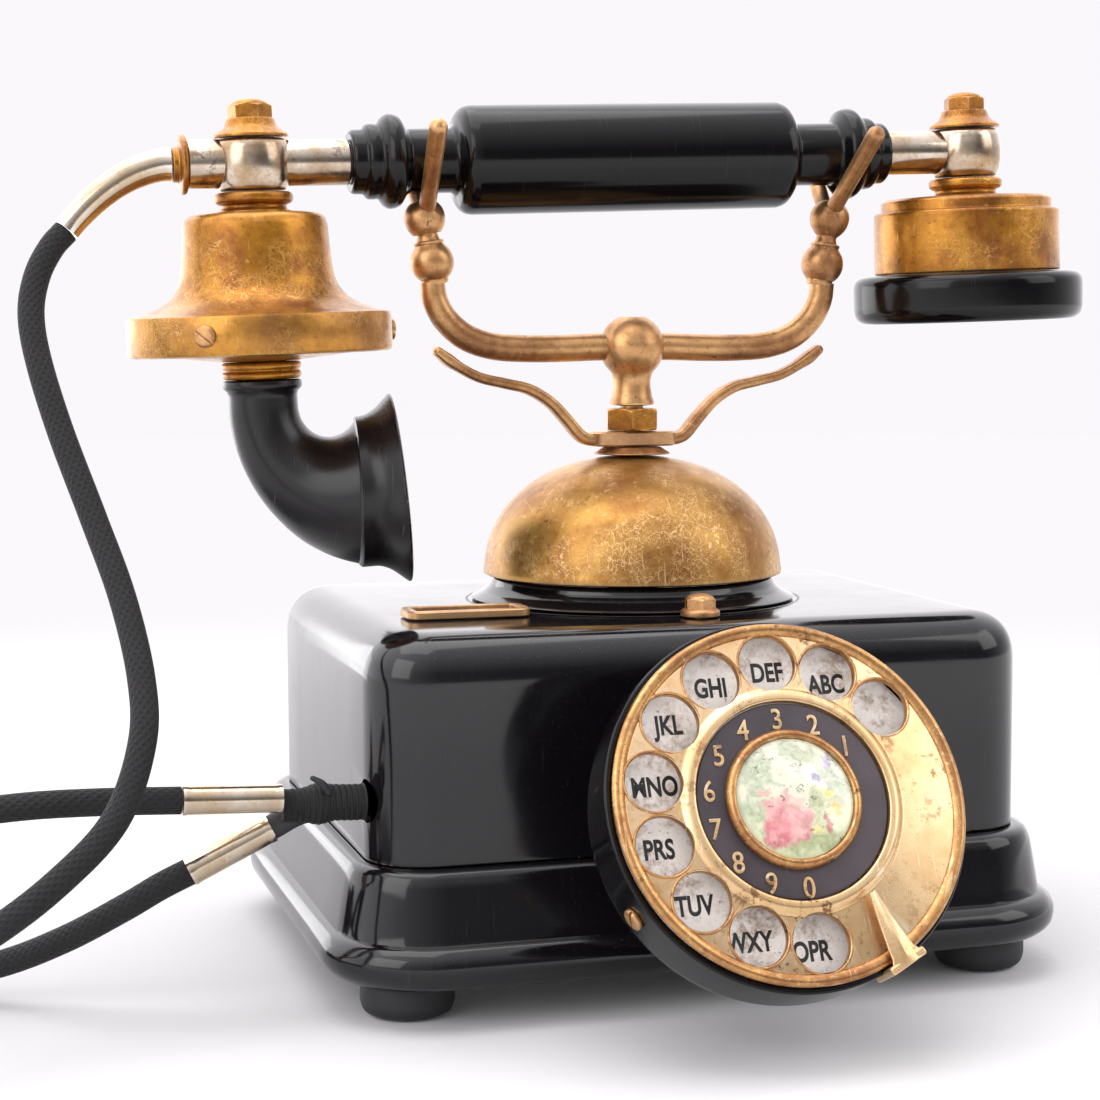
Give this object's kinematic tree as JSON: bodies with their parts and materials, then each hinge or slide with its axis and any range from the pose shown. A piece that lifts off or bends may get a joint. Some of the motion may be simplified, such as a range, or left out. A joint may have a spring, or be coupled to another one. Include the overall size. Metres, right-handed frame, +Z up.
{
  "type": "french-style cradle telephone",
  "caption": "Table telephone with an enamelled base, a dial in a tilted cup, a top gong, a rising cradle and a handset with a trumpet mouthpiece.",
  "frame": {"origin": "under the middle of the telephone without its cords, on the table", "axes": "+X to the caller's right along the handset, +Y to the back, away from the dial, +Z up"},
  "size_m": [0.4066, 0.2242, 0.2082],
  "materials": {
    "enamel": "gloss black stove enamel with fine scratches",
    "bakelite": "polished black bakelite",
    "copper_brass": "brown worn brass",
    "aged_brass": "lacquered brass with brown patina",
    "gold": "worn gold plate",
    "nickel": "nickel worn through to brass",
    "white_enamel": "white enamel with dirt",
    "violet_enamel": "matt violet-black enamel",
    "porcelain": "glazed painted porcelain",
    "rubber": "dull black rubber",
    "cloth": "braided black cotton",
    "steel": "plain steel",
    "fibre": "brown pressed fibre",
    "coil_tape": "red-brown coil tape"
  },
  "bodies": {
    "base": {"top_cover": "enamel", "plinth": "enamel", "bell_pedestal": "enamel", "base_plate": "steel", "dial_chassis": "steel", "ringer_frame": "steel", "foot_front_left": "rubber", "foot_front_right": "rubber", "foot_rear_left": "rubber", "foot_rear_right": "rubber", "gong": "aged_brass", "gong_flange": "aged_brass", "lock_nut": "aged_brass", "guard_arms": "copper_brass", "top_bolt": "copper_brass", "card_frame": "copper_brass", "dial_cup_screw": "copper_brass", "dial_cup": "bakelite", "line_plug": "bakelite", "letter_plate": "white_enamel", "finger_stop": "gold", "ringer_coil_left": "coil_tape", "ringer_coil_right": "coil_tape", "hook_switch": "fibre", "terminal_block": "fibre", "handset_base_sleeve": "nickel", "line_sleeve": "nickel", "handset_cord": "cloth", "cord_binding": "cloth", "line_cord": "cloth", "line_coil": "cloth"},
    "cradle": {"cradle_plunger": "aged_brass", "cradle_bar": "copper_brass", "fork_left": "copper_brass", "fork_right": "copper_brass"},
    "dial": {"finger_wheel": "gold", "number_disc": "violet_enamel", "medallion_bezel": "copper_brass", "medallion": "porcelain", "dial_spindle": "aged_brass"},
    "governor": {"governor": "aged_brass"},
    "clapper": {"clapper": "aged_brass"},
    "handset": {"grip": "bakelite", "tie_rod": "steel", "transmitter_knuckle": "nickel", "receiver_knuckle": "nickel", "transmitter_cap_nut": "aged_brass", "receiver_cap_nut": "aged_brass", "transmitter_ring": "aged_brass", "receiver_ring": "aged_brass", "transmitter_housing": "aged_brass", "transmitter_plate": "aged_brass", "transmitter_collar": "aged_brass", "mouthpiece": "bakelite", "carbon_capsule": "steel", "receiver_cup": "aged_brass", "ear_cap": "bakelite", "receiver_unit": "steel", "cord_gland": "aged_brass", "handset_sleeve": "nickel"}
  },
  "joints": [
    {"name": "handset_lift", "type": "slide", "parent": "base", "child": "handset", "axis": [0, 0, 1], "range_m": [0, 0.085]},
    {"name": "cradle_rise", "type": "slide", "parent": "base", "child": "cradle", "axis": [0, 0, 1], "range_m": [0, 0.00426]},
    {"name": "dial_spin", "type": "hinge", "parent": "base", "child": "dial", "pos_m": [0.00161, -0.07827, 0.0529], "axis": [0, 0.9018, -0.4321], "range_deg": [0, 325], "stiffness_Nm_per_rad": 0.006, "springref_deg": -34.38},
    {"name": "governor_spin", "type": "hinge", "parent": "base", "child": "governor", "pos_m": [0.02028, -0.07827, 0.0529], "axis": [0, 0.9018, -0.4321], "range_deg": [-1305, 5]},
    {"name": "clapper_swing", "type": "hinge", "parent": "base", "child": "clapper", "pos_m": [-0.027, 0.02663, 0.049], "axis": [0, 1, 0], "range_deg": [-1.5, 1.5], "stiffness_Nm_per_rad": 0.06}
  ],
  "couplings": [
    {"joint": "cradle_rise", "follows": "handset_lift", "ratio": 0.05},
    {"joint": "governor_spin", "follows": "dial_spin", "ratio": -4}
  ]
}
